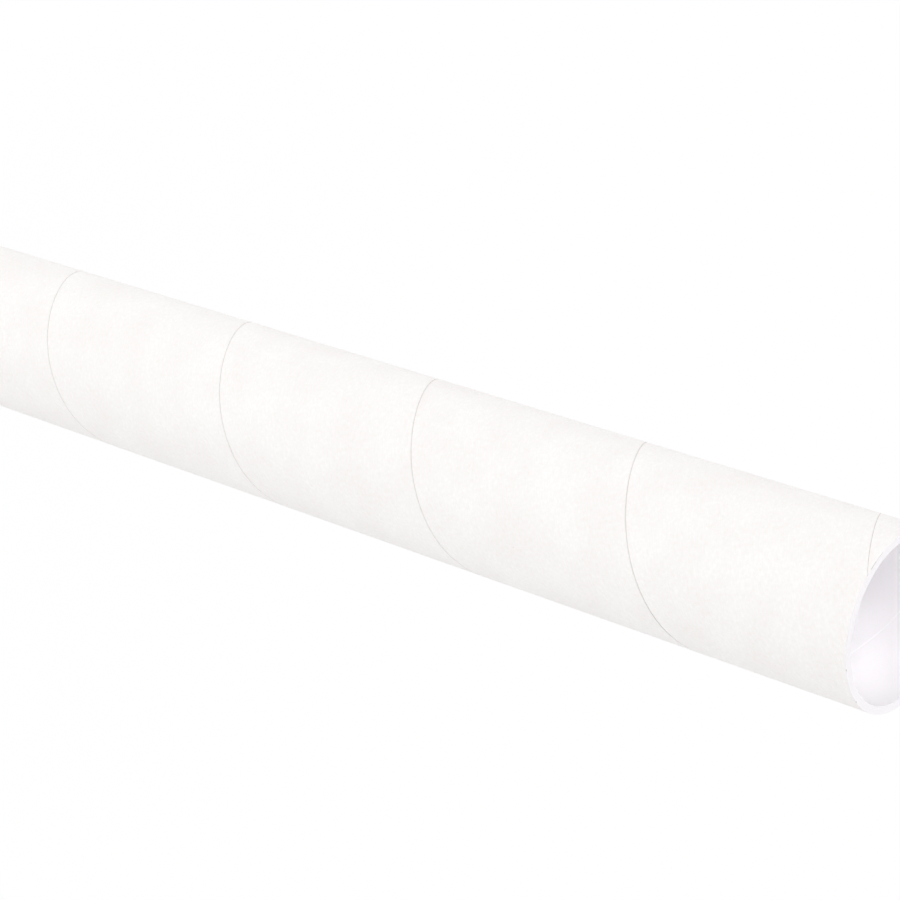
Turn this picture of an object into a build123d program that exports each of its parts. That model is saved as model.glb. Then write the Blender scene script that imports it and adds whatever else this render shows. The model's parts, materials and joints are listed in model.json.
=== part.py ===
from build123d import *

import os
from math import asin, pi, tan

# Spiral-wound paperboard mailing tube, standing on one of its square-cut open ends.
# The origin is the centre of the lower end, and +Z runs up the axis. Sizes are in millimetres,
# and angles are in degrees, counter-clockwise from +X as seen from above.

# Wall of the tube
bore_diameter = 50.8
wall_thickness = 2.5
tube_length = 609.6

# Paper plies that the wall is wound from, all in a right-hand spiral of one lead
ply_thickness = 0.4
outer_ply_width = 76.2

# Butt seams, where the edges of one ply meet from turn to turn, and where each runs out of the upper rim
outer_seam_gap = 0.45
outer_seam_end_angle = -108.3
liner_seam_gap = 0.35
liner_seam_end_angle = 160.0

# How far the cutting tools run past the surfaces that they open, and seams past the tube's ends
cut_overrun = 1.0
seam_overrun = 10.0

bore_radius = bore_diameter / 2
outer_radius = bore_radius + wall_thickness
outer_girth = 2 * pi * outer_radius

# One turn of the outer ply and its gap fills the girth across the winding direction
winding_angle = asin((outer_ply_width + outer_seam_gap) / outer_girth)
lead = outer_girth * tan(winding_angle)


def tube_wall():
    wall = Cylinder(outer_radius, tube_length, align=(Align.CENTER, Align.CENTER, Align.MIN))
    bore_length = tube_length + 2 * cut_overrun
    bore = Cylinder(bore_radius, bore_length, align=(Align.CENTER, Align.CENTER, Align.MIN))
    return wall - Pos(0, 0, -cut_overrun) * bore


# A helical bar that cuts one butt seam, from one radius to another, out through both ends
def seam_cutter(inner_reach, outer_reach, gap, end_angle):
    bar_radius = (inner_reach + outer_reach) / 2
    path = Helix(pitch=lead, height=tube_length + 2 * seam_overrun, radius=bar_radius)
    start = Plane(origin=path @ 0, x_dir=(1, 0, 0), z_dir=path % 0)
    section = start * Rectangle(outer_reach - inner_reach, gap)
    bar = sweep(section, path=path, is_frenet=True)
    start_angle = end_angle - 360 * (tube_length + seam_overrun) / lead
    return Pos(0, 0, -seam_overrun) * Rot(0, 0, start_angle) * bar


outer_seam = seam_cutter(
    outer_radius - ply_thickness, outer_radius + cut_overrun, outer_seam_gap, outer_seam_end_angle
)
liner_seam = seam_cutter(
    bore_radius - cut_overrun, bore_radius + ply_thickness, liner_seam_gap, liner_seam_end_angle
)
tube = tube_wall() - outer_seam - liner_seam

os.makedirs("parts", exist_ok=True)
export_step(tube, "parts/tube.step")
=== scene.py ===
import json
from math import asin, atan, cos, degrees, pi, radians, sin, tan
import bpy
import numpy as np
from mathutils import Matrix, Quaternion, Vector, noise


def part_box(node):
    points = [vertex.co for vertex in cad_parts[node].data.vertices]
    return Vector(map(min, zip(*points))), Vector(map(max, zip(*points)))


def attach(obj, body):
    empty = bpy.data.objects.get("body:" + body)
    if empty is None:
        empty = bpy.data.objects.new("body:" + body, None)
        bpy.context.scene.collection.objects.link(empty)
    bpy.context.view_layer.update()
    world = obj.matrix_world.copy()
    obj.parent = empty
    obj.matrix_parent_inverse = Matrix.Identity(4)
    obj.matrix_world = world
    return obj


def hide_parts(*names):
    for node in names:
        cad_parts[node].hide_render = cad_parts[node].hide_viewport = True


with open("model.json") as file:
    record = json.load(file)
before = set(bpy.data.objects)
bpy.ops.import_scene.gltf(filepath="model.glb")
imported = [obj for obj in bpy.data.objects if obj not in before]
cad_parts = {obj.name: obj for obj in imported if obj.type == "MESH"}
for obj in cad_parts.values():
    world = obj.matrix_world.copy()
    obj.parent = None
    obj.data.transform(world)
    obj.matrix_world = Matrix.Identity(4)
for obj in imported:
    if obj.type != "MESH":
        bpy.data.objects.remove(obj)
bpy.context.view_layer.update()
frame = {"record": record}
mm = 0.001

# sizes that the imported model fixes, in mm
mountSizes = {m["name"]: m["dims"] for m in frame["record"]["mounts"]}
outer = mountSizes["outside"]["r_mm"]
bore = mountSizes["bore"]["r_mm"]
length = (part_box("tube")[1].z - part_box("tube")[0].z) / mm
wall = outer - bore

# the wound wall, in mm and degrees; angles run anticlockwise from +X as seen from above
tubeShape = {
    "turnWidth": 76.65,                                 # one turn of the outer ply with its gap
    "plyThick": 0.4, "innerPlies": 4,
    "seamGap": 0.4, "seamDepth": 0.14, "seamEnd": -108.3,
    "soiledSeam": {"below": 60.0, "reach": 16.0},       # this far below the rim, the seam floor takes painted shade for the shadow of the more open gap
    "tightSeam": {"share": 0.6, "reach": 22.0},         # at the rim, its edges lie closer together
    "linerGap": 0.35, "linerDepth": 0.05, "linerEnd": 160.0,
    "lipSlope": 0.03,                                   # width of a groove's side
    "notchPlies": 2.1,                                  # how far in a seam notches the rims, in plies
    "edgeRound": 0.12, "cornerShare": 0.3,              # a rounded edge, and where its middle lies
    "skin": 0.04,                                       # keeps the waves inside the true radius
    "plyLineDepth": 0.03, "plyLineHalf": 0.06,          # fine lines between the plies on the cut
    "lipFray": 0.03, "frayReach": 1.6,                  # how far the lips wander, and how wide
    "frayShift": 31.0,                                  # gives each lip its own noise
    "wave": 0.02, "cutRough": 0.03,
    "frayNoise": [(1.3, 1.0, 1), (0.5, 0.6, 2)],        # layers of noise: size, share and seed
    "waveNoise": [(9.0, 1.0, 3), (2.5, 0.5, 4)],
    "cutNoise": [(0.9, 1.0, 5)],
    "wearSink": 0.6,                                    # how much of a dent goes down as well as in
    "wear": [                                           # dents along the upper rim's outer edge, which also darken it: the first two paint the shade of the edge's shadow line beside the seam, the last two are darker nicks
        {"start": -119.0, "end": -113.5, "reach": 0.26, "depth": 0.08},
        {"start": -127.0, "end": -119.0, "reach": 0.17, "depth": 0.05},
        {"start": -50.0, "end": -49.4, "reach": 0.32, "depth": 0.18},
        {"start": -21.8, "end": -21.2, "reach": 0.36, "depth": 0.22},
    ],
}

# spacing of the wall's mesh: rows and columns beside the seams in mm, other columns in degrees
wallGrid = {
    "outsideRows": {"first": (0.5, 1.2, 2.2), "evenFrom": 3.6, "step": 1.4, "evenTo": 6.0,
                    "last": (5.0, 3.6, 2.4, 1.6, 1.0, 0.7, 0.45, 0.28)},
    "boreRows": {"first": (0.5, 1.2, 2.4), "evenFrom": 4.4, "step": 2.2, "evenTo": 3.0, "last": (1.2,)},
    "besideSeam": (0.45, 1.0, 2.0), "besideLiner": (0.5, 1.2),
    "turnStep": 5.0, "turnClear": 2.0, "wearStep": 0.6, "wearMargin": 1.2,
    "sharpAngle": 38.0,
}

girth = 2 * pi * outer
windAngle = asin(tubeShape["turnWidth"] / girth)
lead = girth * tan(windAngle)
linerAngle = atan(lead / (2 * pi * bore))
seamTurn = degrees(1 / (outer * sin(windAngle)))        # degrees of turn for each mm across the seam
linerTurn = degrees(1 / (bore * sin(linerAngle)))
linerAt = tubeShape["linerEnd"] - tubeShape["seamEnd"]
innerPly = (wall - 2 * tubeShape["plyThick"]) / tubeShape["innerPlies"]


def signedTurn(angle):
    return (np.asarray(angle) + 180) % 360 - 180


# columns follow the winding, so both seams are straight lines of the grid
def columnTurns():
    s, g = tubeShape, wallGrid
    seamHalf, linerHalf = s["seamGap"] / 2, s["linerGap"] / 2
    seamSides = (seamHalf - s["lipSlope"], seamHalf, *g["besideSeam"])
    linerSides = (linerHalf - s["lipSlope"], linerHalf, *g["besideLiner"])
    fine = [0.0, linerAt]
    fine += [d * seamTurn * side for d in seamSides for side in (-1, 1)]
    fine += [linerAt + d * linerTurn * side for d in linerSides for side in (-1, 1)]
    for rimDent in s["wear"]:
        first, last = rimDent["start"] - g["wearMargin"], rimDent["end"] + g["wearMargin"]
        fine += list(np.arange(first, last + g["wearStep"] / 2, g["wearStep"]) - s["seamEnd"])
    fine = np.unique(np.round(np.mod(fine, 360), 2))    # columns that fall together are one
    plain = np.arange(0, 360, g["turnStep"])
    clear = np.abs(signedTurn(plain[:, None] - fine[None, :])).min(1) > g["turnClear"]
    return np.sort(np.concatenate([fine, plain[clear]]))


outside, rim, inside, foot = range(4)


# places along the wall, close together near both of its ends and evenly spaced between
def wallRows(spacing):
    edge = tubeShape["edgeRound"]
    even = np.arange(spacing["evenFrom"], length - spacing["evenTo"], spacing["step"])
    return [edge, *spacing["first"], *even, *[length - d for d in spacing["last"]], length - edge]


# rows go once round the wall: up the outside, over the rim, down the bore and across the foot
def sectionRows():
    s = tubeShape
    edge, corner = s["edgeRound"], s["cornerShare"] * s["edgeRound"]
    lineHalf, lineDepth = s["plyLineHalf"], s["plyLineDepth"]
    rings = [(corner, corner), (edge, 0.0)]
    for k in range(s["innerPlies"] + 1):
        line = s["plyThick"] + k * innerPly
        rings += [(line - lineHalf, 0.0), (line, lineDepth), (line + lineHalf, 0.0)]
    rings += [(wall - edge, 0.0), (wall - corner, corner)]
    rows = [(outer - s["skin"], height, outside) for height in wallRows(wallGrid["outsideRows"])]
    rows += [(outer - inset, length - dip, rim) for inset, dip in rings]
    rows += [(bore, length - depth, inside) for depth in wallRows(wallGrid["boreRows"])]
    rows += [(outer - inset, dip, foot) for inset, dip in reversed(rings)]
    return np.array(rows)


seedShift = (17.3, 5.1, 9.7)                            # moves the noise to another place for each seed


def smoothNoise(points, size, seed):
    shift = Vector([seed * part for part in seedShift])
    flat = points.reshape(-1, 3) / size
    return np.array([noise.noise(Vector(p) + shift) for p in flat]).reshape(points.shape[:-1])


def layeredNoise(points, layers):
    return sum(share * smoothNoise(points, size, seed) for size, share, seed in layers)


def onCylinder(radius, angle, height):
    return np.stack([radius * np.cos(angle), radius * np.sin(angle), height], axis=-1)


# a butt seam: the groove sinks along the wall and notches the two rims
def cutSeam(radius, zone, offset, gap, depth, wallZone, surface, inward):
    floorColumns = np.abs(offset) < (gap - tubeShape["lipSlope"]) / 2
    onWall = floorColumns & (zone == wallZone)
    radius[onWall] += inward * depth
    reach = tubeShape["notchPlies"] * tubeShape["plyThick"]
    inset = (surface - radius) * -inward                # how far a ring lies inside this face of the wall
    onRim = floorColumns & ((zone == rim) | (zone == foot)) & (inset < reach)
    pressed = depth + inset * (reach - depth) / reach
    radius[onRim] = (surface + inward * pressed)[onRim]
    return floorColumns & ((zone == wallZone) | onRim)


# dents on the upper rim's outer edge are pressed in a little and darkened; beside the seam the darkening
# is painted shade of the edge's shadow line
def dentAndDarkenRim(radius, height, angle, zone):
    rub = np.zeros_like(radius)
    nearEdge = (zone == outside) | (zone == rim)
    fromEdge = np.where(nearEdge, (length - height) + np.abs(outer - radius), np.inf)
    for rimDent in tubeShape["wear"]:
        middle, half = (rimDent["start"] + rimDent["end"]) / 2, (rimDent["end"] - rimDent["start"]) / 2
        fromMiddle = np.abs(signedTurn(np.degrees(angle) - middle))
        aside = radians(1) * outer * np.maximum(fromMiddle - half, 0)
        dent = np.exp(-(aside ** 2 + fromEdge ** 2) / rimDent["reach"] ** 2)
        radius -= rimDent["depth"] * dent * (zone != inside)
        height -= tubeShape["wearSink"] * rimDent["depth"] * dent
        rub = np.maximum(rub, dent)
    return rub


def windTube():
    s = tubeShape
    turns = columnTurns()
    rows = sectionRows()
    shape = (len(rows), len(turns))
    radius, height, zone = (np.tile(rows[:, k][:, None], (1, shape[1])) for k in range(3))
    spread = np.tile(signedTurn(turns)[None, :], (shape[0], 1))
    seamOff = spread / seamTurn
    linerOff = signedTurn(spread - linerAt) / linerTurn
    seam = cutSeam(radius, zone, seamOff, s["seamGap"], s["seamDepth"], outside, outer, -1)
    liner = cutSeam(radius, zone, linerOff, s["linerGap"], s["linerDepth"], inside, bore, 1)

    # the seam's edges draw together towards the rim
    closer = s["tightSeam"]["share"] * np.exp(-((length - height) / s["tightSeam"]["reach"]) ** 2)
    atLips = (np.abs(seamOff) < s["seamGap"] / 2 + s["lipSlope"]) & ((zone == outside) | (zone == rim))
    spread = np.where(atLips, spread * (1 - closer), spread)
    angle = np.radians(spread + s["seamEnd"]) + 2 * pi * (height - length) / lead

    # torn paper edges wander a little along the seam, each side in its own way
    place = onCylinder(outer, angle, height)
    side = np.sign(seamOff)[..., None] * np.array([s["frayShift"], 0, 0])
    fray = layeredNoise(place + side, s["frayNoise"])
    nearSeam = np.clip(s["frayReach"] - np.abs(seamOff), 0, 1) * (zone == outside) * (seamOff != 0)
    angle += np.radians(s["lipFray"] * fray * nearSeam * seamTurn)

    # shallow waves over the wound paper, and the cut's roughness on the rims
    wave = layeredNoise(place, s["waveNoise"])
    onWall = (zone == outside) | (zone == inside)
    radius += s["wave"] * wave * onWall * np.where(zone == outside, 1, -1)
    rough = np.abs(layeredNoise(onCylinder(radius, angle, height), s["cutNoise"])) * s["cutRough"]
    height += np.where(zone == rim, -rough, np.where(zone == foot, rough, 0))
    rub = dentAndDarkenRim(radius, height, angle, zone)
    # painted shade on the seam floor about 60 mm below the rim, where the gap opens
    darkShare = np.exp(-((length - height - s["soiledSeam"]["below"]) / s["soiledSeam"]["reach"]) ** 2)
    rub = np.maximum(rub, darkShare * seam * (zone == outside))
    radius = np.where(zone == inside, np.maximum(radius, bore), radius)
    print("wound wall:", shape[0], "rows by", shape[1], "columns")
    return radius, angle, height, zone, turns, seam, liner, rub


# face corners keep their place on the paper, in mm: along the ply, across it and into the wall
def paperPlaces(turns, height, radius):
    closed = np.radians(np.append(turns, turns[0] + 360))
    rows = np.append(np.arange(len(height)), 0)
    high = np.hstack([height, height[:, :1]])[rows]
    deep = outer - np.hstack([radius, radius[:, :1]])[rows]
    around = outer * np.tile(closed[None, :], (len(rows), 1))
    along = around * cos(windAngle) + (high - length) / sin(windAngle)
    across = -around * sin(windAngle)
    grid = np.stack([along, across, deep], axis=-1)
    corners = [grid[:-1, :-1], grid[:-1, 1:], grid[1:, 1:], grid[1:, :-1]]
    return np.stack(corners, axis=2).reshape(-1, 3)


finishOrder = ["outerPaper", "linerPaper", "cutBoard", "seamBoard", "linerSeam"]
zoneFinish = {outside: "outerPaper", rim: "cutBoard", inside: "linerPaper", foot: "cutBoard"}


def makeTube():
    radius, angle, height, zone, turns, seam, liner, rub = windTube()
    rowCount, columnCount = radius.shape
    points = onCylinder(radius, angle, height).reshape(-1, 3) * mm
    index = np.arange(rowCount * columnCount).reshape(rowCount, columnCount)
    nextColumn = np.roll(index, -1, axis=1)
    nextRow = np.roll(index, -1, axis=0)
    nextBoth = np.roll(nextRow, -1, axis=1)
    faces = np.stack([index, nextColumn, nextBoth, nextRow], axis=-1).reshape(-1, 4)
    mesh = bpy.data.meshes.new("mailingTube")
    mesh.from_pydata(points.tolist(), [], faces.tolist())
    mesh.attributes.new("paperPlace", "FLOAT_VECTOR", "CORNER").data.foreach_set(
        "vector", paperPlaces(turns, height, radius).ravel())
    mesh.attributes.new("rub", "FLOAT", "POINT").data.foreach_set("value", rub.ravel())

    # each face takes the finish of the surface it lies on
    low = zone[:, 0].astype(int)
    high = np.roll(low, -1)
    faceZone = np.where(low == high, low, np.where((low == outside) | (low == inside), high, low))
    rowFinish = np.array([finishOrder.index(zoneFinish[z]) for z in faceZone])
    finish = np.repeat(rowFinish, columnCount)
    onWall = finish != finishOrder.index("cutBoard")
    finish[onWall & seam.reshape(-1)[faces].any(1)] = finishOrder.index("seamBoard")
    finish[onWall & liner.reshape(-1)[faces].any(1)] = finishOrder.index("linerSeam")
    mesh.polygons.foreach_set("material_index", finish.astype(np.int32))
    mesh.shade_smooth()
    mesh.set_sharp_from_angle(angle=radians(wallGrid["sharpAngle"]))
    tube = bpy.data.objects.new("mailingTube", mesh)
    bpy.context.scene.collection.objects.link(tube)
    print("tube mesh:", 2 * len(faces), "triangles")
    return tube


# each input takes a link or a plain value
def addNode(tree, kind, inputs=None, **settings):
    node = tree.nodes.new(kind)
    for name, value in settings.items():
        setattr(node, name, value)
    for name, value in (inputs or {}).items():
        socket = node.inputs[name]
        if isinstance(value, bpy.types.NodeSocket):
            tree.links.new(value, socket)
        else:
            socket.default_value = value
    return node


def newGroup(name, inputs, outputs):
    tree = bpy.data.node_groups.new(name, "ShaderNodeTree")
    for label, kind in inputs:
        tree.interface.new_socket(label, in_out="INPUT", socket_type="NodeSocket" + kind)
    for label, kind in outputs:
        tree.interface.new_socket(label, in_out="OUTPUT", socket_type="NodeSocket" + kind)
    return tree, tree.nodes.new("NodeGroupInput").outputs, tree.nodes.new("NodeGroupOutput")


# the standard curve from levels of 255 to linear colour
def srgb(*levels):
    parts = [v / 255 for v in levels]
    return tuple(p / 12.92 if p <= 0.04045 else ((p + 0.055) / 1.055) ** 2.4 for p in parts) + (1.0,)


def mixColor(tree, factor, first, second):
    return addNode(tree, "ShaderNodeMix", {0: factor, 6: first, 7: second}, data_type="RGBA").outputs[2]


def mixValue(tree, factor, first, second):
    return addNode(tree, "ShaderNodeMix", {0: factor, 2: first, 3: second}).outputs[0]


def fitRange(tree, value, fromLow, fromHigh, toLow=0.0, toHigh=1.0):
    limits = {"From Min": fromLow, "From Max": fromHigh, "To Min": toLow, "To Max": toHigh}
    return addNode(tree, "ShaderNodeMapRange", {"Value": value, **limits}).outputs["Result"]


def mathNode(tree, operation, first, second):
    return addNode(tree, "ShaderNodeMath", {0: first, 1: second}, operation=operation).outputs[0]


def noiseNode(tree, place, settings):
    return addNode(tree, "ShaderNodeTexNoise", {"Vector": place, **settings}).outputs["Fac"]


# noise scales are per mm of paper; each range says where a pattern starts and where it is full
grainLook = {
    "cloud": {"Scale": 0.85, "Detail": 4.0, "Roughness": 0.62},
    "fibre": {"Scale": 1.0, "Detail": 3.0}, "fibreStretch": (0.4, 2.2, 1.6), "fibreShare": 0.4,
    "drift": {"Scale": 0.06, "Detail": 2.0}, "driftShare": 0.28,
    "pulpRange": (0.36, 0.66), "driftRange": (0.35, 0.65),
    "fleckScale": 0.055, "fleckEdge": (0.008, 0.016), "fleckGate": 0.55,
    "fleckColor": srgb(150, 140, 132),
    "roughRange": (0.3, 0.7), "roughness": (0.72, 0.9),
}


# pulp clouds, fibres along the ply and a few dark specks
def paperGrainGroup():
    g = grainLook
    tree, given, made = newGroup(
        "paperGrain",
        [("Place", "Vector"), ("Paper", "Color"), ("Pulp", "Color"),
         ("Mottle", "Float"), ("Flecks", "Float")],
        [("Color", "Color"), ("Roughness", "Float"), ("Height", "Float")])
    place = given["Place"]
    scaling = {0: place, 1: g["fibreStretch"]}
    stretched = addNode(tree, "ShaderNodeVectorMath", scaling, operation="MULTIPLY").outputs[0]
    cloud = noiseNode(tree, place, g["cloud"])
    fibre = noiseNode(tree, stretched, g["fibre"])
    drift = noiseNode(tree, place, g["drift"])
    pulp = mixValue(tree, g["fibreShare"], cloud, fibre)
    fine = fitRange(tree, pulp, *g["pulpRange"])
    broad = fitRange(tree, drift, *g["driftRange"])
    shade = mathNode(tree, "MULTIPLY", mixValue(tree, g["driftShare"], fine, broad), given["Mottle"])
    toned = mixColor(tree, shade, given["Paper"], given["Pulp"])

    # a speck lies in the middle of some of the cells
    cells = addNode(tree, "ShaderNodeTexVoronoi", {"Vector": place, "Scale": g["fleckScale"]})
    pick = addNode(tree, "ShaderNodeSeparateColor", {"Color": cells.outputs["Color"]}).outputs[0]
    speck = fitRange(tree, cells.outputs["Distance"], *g["fleckEdge"], 1.0, 0.0)
    fleck = mathNode(tree, "MULTIPLY", speck, mathNode(tree, "GREATER_THAN", pick, g["fleckGate"]))
    fleck = mathNode(tree, "MULTIPLY", fleck, given["Flecks"])
    tree.links.new(mixColor(tree, fleck, toned, g["fleckColor"]), made.inputs["Color"])
    tree.links.new(fitRange(tree, pulp, *g["roughRange"], *g["roughness"]), made.inputs["Roughness"])
    tree.links.new(pulp, made.inputs["Height"])
    return tree


darkeningLook = {
    "patches": {"Scale": 2.6, "Detail": 3.0}, "patchRange": (0.25, 0.6), "patchShare": (0.8, 1.0),
    "rubRange": (0.25, 0.8),
}


# darkening, a little broken up: painted shade on the rim's edge beside the seam and on one stretch of the
# seam floor, and darker nicks on the rim
def darkeningMixGroup():
    tree, given, made = newGroup(
        "rubbedEdge",
        [("Place", "Vector"), ("Clean", "Color"), ("Soil", "Color"), ("Rub", "Float")],
        [("Color", "Color")])
    patches = noiseNode(tree, given["Place"], darkeningLook["patches"])
    share = fitRange(tree, patches, *darkeningLook["patchRange"], *darkeningLook["patchShare"])
    darkShare = fitRange(tree, mathNode(tree, "MULTIPLY", given["Rub"], share), *darkeningLook["rubRange"])
    tree.links.new(mixColor(tree, darkShare, given["Clean"], given["Soil"]), made.inputs["Color"])
    return tree


paperGrain = paperGrainGroup()
rubbedEdge = darkeningMixGroup()

paperSheen = 0.2
# the darker tone for the dents on the rim's edge: painted shade beside the seam, darker nicks elsewhere
rimDarkTone = srgb(202, 198, 192)
finishes = {
    "outerPaper": {
        "paper": srgb(252, 251, 250), "pulp": srgb(242, 238, 236), "soil": rimDarkTone,
        "mottle": 1.0, "flecks": 0.3, "bump": 0.25, "relief": 0.05,
    },
    "linerPaper": {
        "paper": srgb(251, 249, 251), "pulp": srgb(247, 245, 248), "soil": rimDarkTone,
        "mottle": 0.8, "flecks": 0.3, "bump": 0.2, "relief": 0.05,
    },
    "cutBoard": {
        "paper": srgb(249, 247, 249), "pulp": srgb(243, 240, 243), "soil": rimDarkTone,
        "mottle": 0.9, "flecks": 0.0, "bump": 0.4, "relief": 0.06,
        "plyEdge": srgb(234, 230, 235), "outerEdge": srgb(250, 249, 250),
    },
    # under-ply board in the seam's gap, toned darker as painted shade of the narrow groove; its dark tone
    # is painted shade where the gap opens
    "seamBoard": {
        "paper": srgb(233, 230, 228), "pulp": srgb(222, 218, 215), "soil": srgb(194, 190, 187),
        "mottle": 1.0, "flecks": 0.0, "bump": 0.4, "relief": 0.06,
    },
    # white paper in the liner's seam, made lighter still as a painted highlight of the groove's lit side
    "linerSeam": {
        "paper": srgb(254, 254, 254), "pulp": srgb(252, 252, 252), "soil": rimDarkTone,
        "mottle": 0.5, "flecks": 0.0, "bump": 0.2, "relief": 0.05,
    },
}

# where each tone of the cut fades out, in plies, in edge rounds or in mm, and how strong it is
ringLook = {
    "outerRing": (0.8, 1.2), "outerShare": 0.7, "cutEdge": (0.8, 1.4), "cutShare": 0.8,
    "plyLine": (0.02, 0.09), "lineShare": 0.7,
}


# on the cut, the outer ply shows as a whiter ring, the rounded outer edge darker, and the plies' edges as
# faint lines
def plyRings(tree, place, color, look):
    inset = addNode(tree, "ShaderNodeSeparateXYZ", {"Vector": place}).outputs["Z"]
    ringLimits = [part * tubeShape["plyThick"] for part in ringLook["outerRing"]]
    outerRing = fitRange(tree, inset, *ringLimits, ringLook["outerShare"], 0.0)
    color = mixColor(tree, outerRing, color, look["outerEdge"])
    edgeLimits = [part * tubeShape["edgeRound"] for part in ringLook["cutEdge"]]
    cutEdge = fitRange(tree, inset, *edgeLimits, ringLook["cutShare"], 0.0)
    color = mixColor(tree, cutEdge, color, look["plyEdge"])
    fromLine = mathNode(tree, "ADD", inset, innerPly - tubeShape["plyThick"])
    fromLine = mathNode(tree, "PINGPONG", fromLine, innerPly / 2)
    plyLine = fitRange(tree, fromLine, *ringLook["plyLine"], ringLook["lineShare"], 0.0)
    return mixColor(tree, plyLine, color, look["plyEdge"])


def paperMaterial(name):
    look = finishes[name]
    material = bpy.data.materials.new(name)
    material.use_nodes = True
    tree = material.node_tree
    place = addNode(tree, "ShaderNodeAttribute", attribute_name="paperPlace").outputs["Vector"]
    rub = addNode(tree, "ShaderNodeAttribute", attribute_name="rub").outputs["Fac"]
    sheet = {"Place": place, "Paper": look["paper"], "Pulp": look["pulp"]}
    strength = {"Mottle": look["mottle"], "Flecks": look["flecks"]}
    grain = addNode(tree, "ShaderNodeGroup", {**sheet, **strength}, node_tree=paperGrain).outputs
    color = grain["Color"]
    if "plyEdge" in look:
        color = plyRings(tree, place, color, look)
    wear = {"Place": place, "Clean": color, "Soil": look["soil"], "Rub": rub}
    darkened = addNode(tree, "ShaderNodeGroup", wear, node_tree=rubbedEdge).outputs
    relief = {"Strength": look["bump"], "Distance": look["relief"] * mm, "Height": grain["Height"]}
    bump = addNode(tree, "ShaderNodeBump", relief).outputs
    shader = tree.nodes["Principled BSDF"].inputs
    shader["Specular IOR Level"].default_value = paperSheen
    tree.links.new(darkened["Color"], shader["Base Color"])
    tree.links.new(grain["Roughness"], shader["Roughness"])
    tree.links.new(bump["Normal"], shader["Normal"])
    return material


mailingTube = makeTube()
for finishName in finishOrder:
    mailingTube.data.materials.append(paperMaterial(finishName))
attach(mailingTube, "root")
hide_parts("tube")
print("paper finishes:", len(finishOrder))

white = (1.0, 1.0, 1.0, 1.0)
studio = {
    "sky": 0.78,                                        # even white light from all round
    "backdrop": 1.0,                                    # what the camera sees of it
    "sunSpread": 60.0,
    "suns": [
        {"name": "keyLight", "toLight": (-0.2, -0.6, 0.77), "strength": 0.84},
        {"name": "sideLight", "toLight": (0.8, -0.5, 0.33), "strength": 0.14},
        {"name": "edgeLight", "toLight": (-0.75, 0.0, 0.66), "strength": 0.19},
    ],
    "floorSize": 8.0, "floorTone": srgb(250, 250, 250), "floorGlow": 0.9,
}

# beams that end on the bore, in metres and watts: the way to the lamp, aim on the mouth, and width
mouthBeam = {"away": 0.4, "spread": 1.5}                # how far off the lamps are, and degrees of spread
mouthLights = [
    {"name": "mouthFill", "toLamp": (0.0, 0.707, 0.707), "aim": (0.0, 0.0),
     "beam": (0.044, 0.028), "roll": 0.0, "power": 0.0018},
    {"name": "mouthFront", "toLamp": (0.148, -0.554, 0.819), "aim": (0.0, 0.0),
     "beam": (0.042, 0.034), "roll": 0.0, "power": 0.00046},
    {"name": "mouthLow", "toLamp": (-0.765, -0.407, 0.5), "aim": (0.0, 0.0),
     "beam": (0.042, 0.019), "roll": 0.0, "power": 0.00022},
    {"name": "mouthLeft", "toLamp": (-0.192, -0.718, 0.669), "aim": (0.003, -0.006),
     "beam": (0.032, 0.015), "roll": 22.0, "power": 0.00022},
]


# 1 for rays that show the backdrop straight on, in gloss or through glass
def backdropRays(tree):
    rays = tree.nodes.new("ShaderNodeLightPath").outputs
    seen = mathNode(tree, "MAXIMUM", rays["Is Camera Ray"], rays["Is Glossy Ray"])
    return mathNode(tree, "MAXIMUM", seen, rays["Is Transmission Ray"])


def mixShader(tree, share, first, second):
    return addNode(tree, "ShaderNodeMixShader", {0: share, 1: first, 2: second}).outputs[0]


def makeWorld():
    world = bpy.data.worlds.new("whiteStudio")
    bpy.context.scene.world = world
    world.use_nodes = True
    tree = world.node_tree
    light = tree.nodes["Background"]
    light.inputs["Color"].default_value = white
    light.inputs["Strength"].default_value = studio["sky"]
    backdrop = addNode(tree, "ShaderNodeBackground", {"Color": white, "Strength": studio["backdrop"]})
    mixed = mixShader(tree, backdropRays(tree), light.outputs[0], backdrop.outputs[0])
    tree.links.new(mixed, tree.nodes["World Output"].inputs["Surface"])


def makeFloor():
    half = studio["floorSize"] / 2
    corners = [(-half, -half, 0), (half, -half, 0), (half, half, 0), (-half, half, 0)]
    mesh = bpy.data.meshes.new("floor")
    mesh.from_pydata(corners, [], [(0, 1, 2, 3)])
    floor = bpy.data.objects.new("floor", mesh)
    bpy.context.scene.collection.objects.link(floor)
    material = bpy.data.materials.new("whiteFloor")
    material.use_nodes = True
    tree = material.node_tree
    tree.nodes.remove(tree.nodes["Principled BSDF"])
    matt = addNode(tree, "ShaderNodeBsdfDiffuse", {"Color": studio["floorTone"]})
    glow = addNode(tree, "ShaderNodeEmission", {"Color": white, "Strength": studio["backdrop"]})
    share = mathNode(tree, "MULTIPLY", backdropRays(tree), studio["floorGlow"])
    mixed = mixShader(tree, share, matt.outputs[0], glow.outputs[0])
    tree.links.new(mixed, tree.nodes["Material Output"].inputs["Surface"])
    mesh.materials.append(material)


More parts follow.
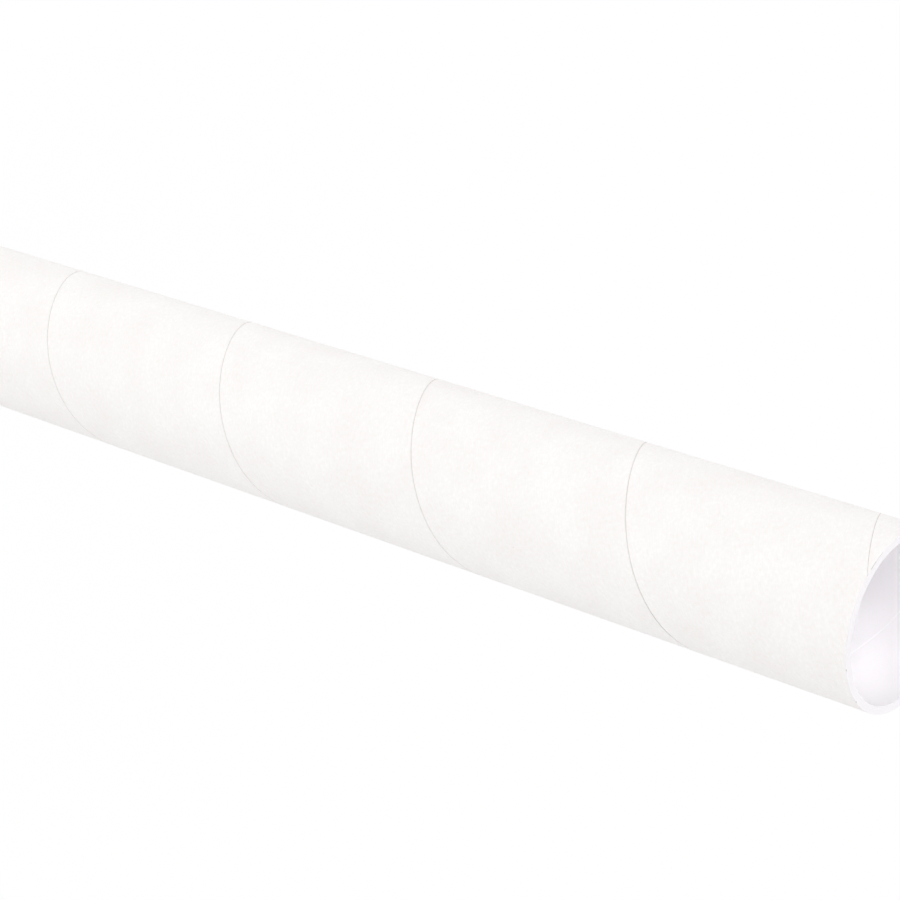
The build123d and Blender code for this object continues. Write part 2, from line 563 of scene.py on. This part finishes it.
# a lamp that shines from the way given, turned about its own beam
def placeLamp(name, lamp, toLamp, roll=0.0):
    holder = bpy.data.objects.new(name, lamp)
    holder.rotation_mode = "QUATERNION"
    holder.rotation_quaternion = toLamp.to_track_quat("Z", "Y") @ Quaternion((0, 0, 1), radians(roll))
    bpy.context.scene.collection.objects.link(holder)
    return holder


def makeSun(light):
    lamp = bpy.data.lights.new(light["name"], "SUN")
    lamp.energy = light["strength"]
    lamp.angle = radians(studio["sunSpread"])
    placeLamp(light["name"], lamp, Vector(light["toLight"]))


# a narrow beam that shines past the near rim into the bore
def makeMouthLight(light):
    lamp = bpy.data.lights.new(light["name"], "AREA")
    lamp.energy = light["power"]
    lamp.shape = "ELLIPSE"
    lamp.size, lamp.size_y = light["beam"]
    lamp.spread = radians(mouthBeam["spread"])
    toLamp = Vector(light["toLamp"]).normalized()
    holder = placeLamp(light["name"], lamp, toLamp, light["roll"])
    holder.location = Vector((*light["aim"], length * mm)) + toLamp * mouthBeam["away"]
    holder.visible_camera = False


makeWorld()
makeFloor()
for mouthLight in mouthLights:
    makeMouthLight(mouthLight)
for sun in studio["suns"]:
    makeSun(sun)
bpy.context.scene.view_settings.view_transform = "Standard"
print("studio light ready")

# the camera looks down past the standing tube and is turned on its side
cameraView = {
    "place": (0.0, -0.74846, 1.01756), "aim": (-0.00699, 0.0, 0.43515), "roll": 107.856,
    "lens": 117.846, "sensor": 36.0,
}


def makeCamera():
    data = bpy.data.cameras.new("photoCamera")
    data.sensor_width = cameraView["sensor"]
    data.lens = cameraView["lens"]
    camera = bpy.data.objects.new("photoCamera", data)
    place, aim = Vector(cameraView["place"]), Vector(cameraView["aim"])
    camera.location = place
    camera.rotation_mode = "QUATERNION"
    roll = Quaternion((0, 0, 1), radians(cameraView["roll"]))
    camera.rotation_quaternion = (aim - place).to_track_quat("-Z", "Y") @ roll
    bpy.context.scene.collection.objects.link(camera)
    bpy.context.scene.camera = camera


makeCamera()
print("camera placed")

bpy.context.view_layer.update()
